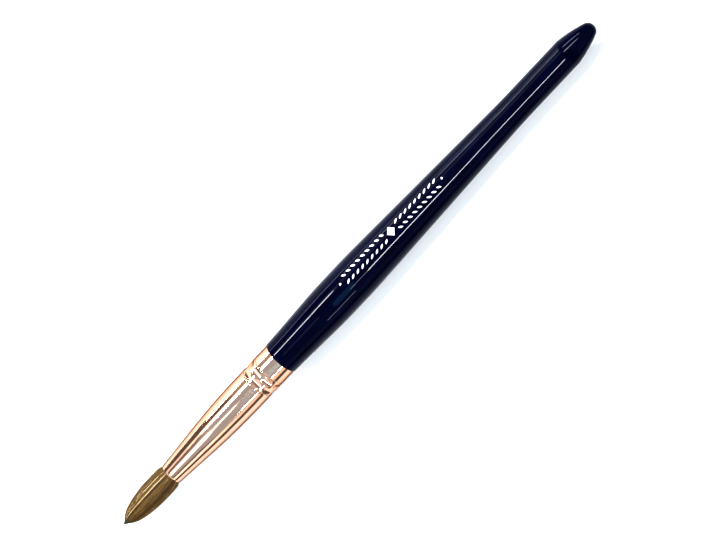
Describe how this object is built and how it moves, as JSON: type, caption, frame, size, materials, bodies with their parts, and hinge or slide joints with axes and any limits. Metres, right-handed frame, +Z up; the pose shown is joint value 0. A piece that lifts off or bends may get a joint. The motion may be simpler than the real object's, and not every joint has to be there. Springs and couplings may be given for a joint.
{
  "type": "fine detail brush",
  "caption": "Round hair brush for fine detail work: a lacquered wooden handle with a full belly, a crimped metal ferrule and a pointed tuft that bends.",
  "frame": {"origin": "middle of the brush's length, straight below its axis, on the surface that the belly of the handle rests on", "axes": "+X along the brush from the hair towards the butt, +Z up, +Y across; the foil ornament faces up and 18 degrees towards +Y"},
  "size_m": [0.178, 0.0112, 0.0112],
  "materials": {
    "handle_wood": "turned beech, sealed under the lacquer",
    "lacquer": "dipped gloss lacquer, nearly black navy",
    "foil": "silver-white stamped foil",
    "ferrule_metal": "rose-gold plated, polished",
    "glue": "set wood glue, amber",
    "cement": "set resin cement, amber brown",
    "thread": "waxed linen thread",
    "hair": "golden-brown natural hair, satin"
  },
  "bodies": {
    "handle": {"handle_core": "handle_wood", "lacquer_coat": "lacquer", "foil_stamp": "foil", "ferrule": "ferrule_metal", "tenon_glue": "glue", "root_cement": "cement", "binding_thread": "thread", "hair_roots": "hair"},
    "tuft": {"outer_hairs": "hair", "belly_hairs": "hair"}
  },
  "joints": [
    {"name": "tuft_bend", "type": "hinge", "parent": "handle", "child": "tuft", "pos_m": [-0.0742, 0, 0.0056], "axis": [0, 1, 0], "range_deg": [-35, 35], "stiffness_Nm_per_rad": 0.002}
  ]
}
